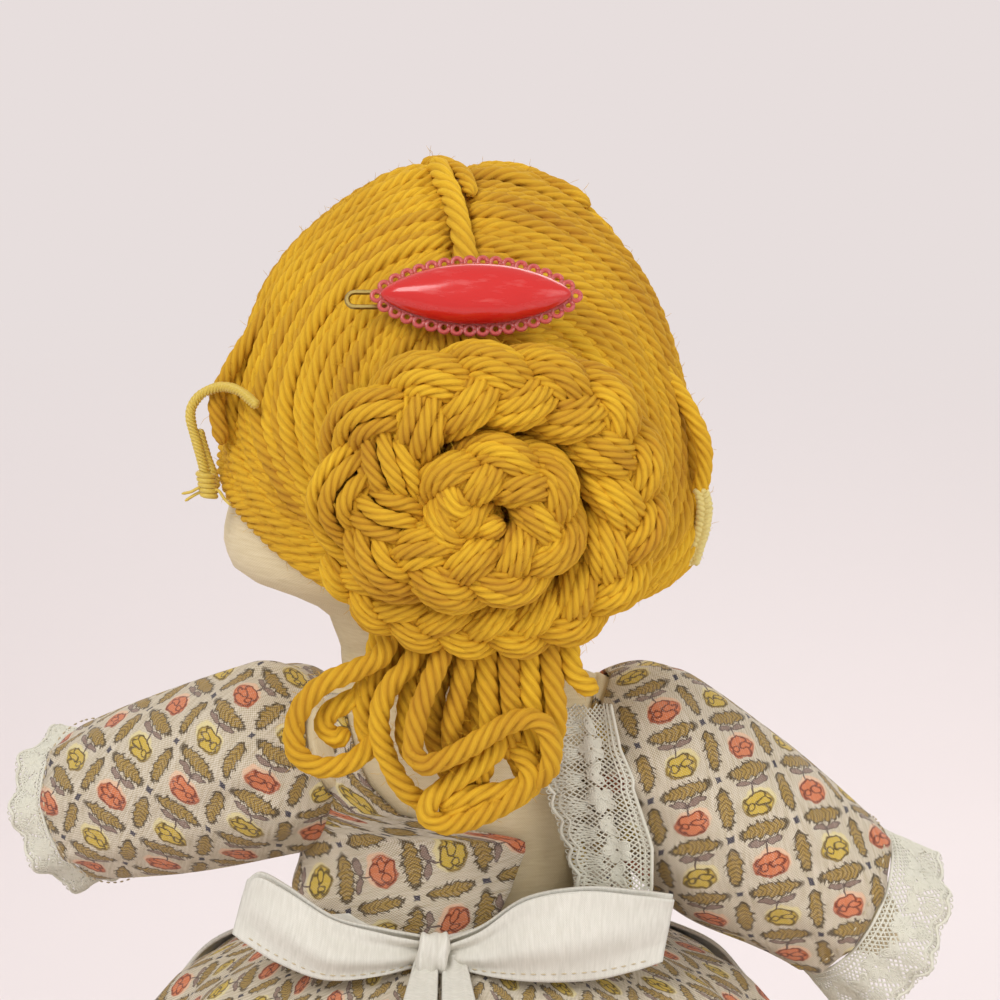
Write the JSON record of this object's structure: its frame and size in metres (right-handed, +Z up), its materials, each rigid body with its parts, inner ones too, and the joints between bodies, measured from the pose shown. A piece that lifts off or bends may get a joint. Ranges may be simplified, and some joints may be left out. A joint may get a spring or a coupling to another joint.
{
  "type": "rag doll",
  "caption": "Stuffed muslin rag doll with braided yarn hair in a bun, a barrette, a printed dress with lace cuffs, and a tied apron; neck, arms and legs flop at sewn joints.",
  "frame": {"origin": "inside the waist, 8 mm under the waist seam, where a hand or a doll stand holds it", "axes": "+Z up, -Y the doll's back, +X the doll's right; in the picture +X is to the right"},
  "size_m": [0.2214, 0.1822, 0.4256],
  "materials": {
    "muslin": "plain woven unbleached muslin, stuffed",
    "calico": "cream cotton with a small floral lattice print",
    "lace": "ivory cotton lace",
    "white_cotton": "plain white cotton",
    "yarn": "mustard knitting yarn, slightly fuzzy",
    "gold_thread": "wrapped embroidery thread with a soft sheen",
    "red_plastic": "worn gloss",
    "clear_red_plastic": "translucent gloss",
    "brass": "tarnished wire",
    "felt": "black felt"
  },
  "bodies": {
    "body": {"torso": "muslin", "bodice": "calico", "neck_lace": "lace", "skirt": "calico", "apron_skirt": "white_cotton", "apron_band": "white_cotton", "bow_knot": "white_cotton", "bow_left_loop": "white_cotton", "bow_right_loop": "white_cotton", "bow_left_tail": "white_cotton", "bow_right_tail": "white_cotton"},
    "head": {"head": "muslin", "hair_left": "yarn", "hair_right": "yarn", "part_strand": "yarn", "side_strand_left": "yarn", "side_strand_right": "yarn", "bun_braid": "yarn", "bun_centre": "yarn"},
    "ponytail": {"ponytail_loop_1": "yarn", "ponytail_loop_2": "yarn", "ponytail_loop_3": "yarn", "ponytail_loop_4": "yarn", "ponytail_loop_5": "yarn", "ponytail_side_loop": "yarn", "ponytail_cross_loop": "yarn"},
    "left_earring": {"left_earring": "gold_thread"},
    "right_earring": {"right_earring": "gold_thread"},
    "barrette": {"barrette_dome": "red_plastic", "barrette_rim": "clear_red_plastic", "barrette_bar": "brass"},
    "clasp": {"barrette_clasp": "brass"},
    "left_arm": {"left_arm": "muslin", "left_sleeve": "calico", "left_cuff_lace": "lace"},
    "right_arm": {"right_arm": "muslin", "right_sleeve": "calico", "right_cuff_lace": "lace"},
    "left_leg": {"left_leg": "muslin", "left_pantaloon_leg": "white_cotton", "left_hem_lace": "lace", "left_shoe": "felt"},
    "right_leg": {"right_leg": "muslin", "right_pantaloon_leg": "white_cotton", "right_hem_lace": "lace", "right_shoe": "felt"}
  },
  "joints": [
    {"name": "head_nod", "type": "hinge", "parent": "body", "child": "head", "pos_m": [0, 0, 0.066], "axis": [-1, 0, 0], "range_deg": [0, 12]},
    {"name": "left_shoulder", "type": "hinge", "parent": "body", "child": "left_arm", "pos_m": [-0.041, 0, 0.045], "axis": [0, 1, 0], "range_deg": [-8, 45]},
    {"name": "right_shoulder", "type": "hinge", "parent": "body", "child": "right_arm", "pos_m": [0.041, 0, 0.045], "axis": [0, -1, 0], "range_deg": [0, 55]},
    {"name": "left_hip", "type": "hinge", "parent": "body", "child": "left_leg", "pos_m": [-0.02, 0, -0.042], "axis": [1, 0, 0], "range_deg": [-20, 20]},
    {"name": "right_hip", "type": "hinge", "parent": "body", "child": "right_leg", "pos_m": [0.02, 0, -0.042], "axis": [1, 0, 0], "range_deg": [-20, 20]},
    {"name": "ponytail_swing", "type": "hinge", "parent": "head", "child": "ponytail", "pos_m": [0, -0.044, 0.079], "axis": [-1, 0, 0], "range_deg": [0, 25]},
    {"name": "left_earring_swing", "type": "hinge", "parent": "head", "child": "left_earring", "pos_m": [-0.04987, -0.01655, 0.12841], "axis": [0, 1, 0], "range_deg": [0, 35]},
    {"name": "right_earring_swing", "type": "hinge", "parent": "head", "child": "right_earring", "pos_m": [0.05459, -0.01655, 0.10459], "axis": [0, -1, 0], "range_deg": [0, 35]},
    {"name": "barrette_lift", "type": "slide", "parent": "head", "child": "barrette", "axis": [0, -0.9272, 0.3746], "range_m": [0, 0.03]},
    {"name": "clasp_open", "type": "hinge", "parent": "barrette", "child": "clasp", "pos_m": [0.022, -0.04032, 0.15095], "axis": [0, -0.3746, -0.9272], "range_deg": [0, 26]}
  ],
  "couplings": [
    {"joint": "clasp_open", "follows": "barrette_lift", "rad_per_m": 14.5}
  ]
}
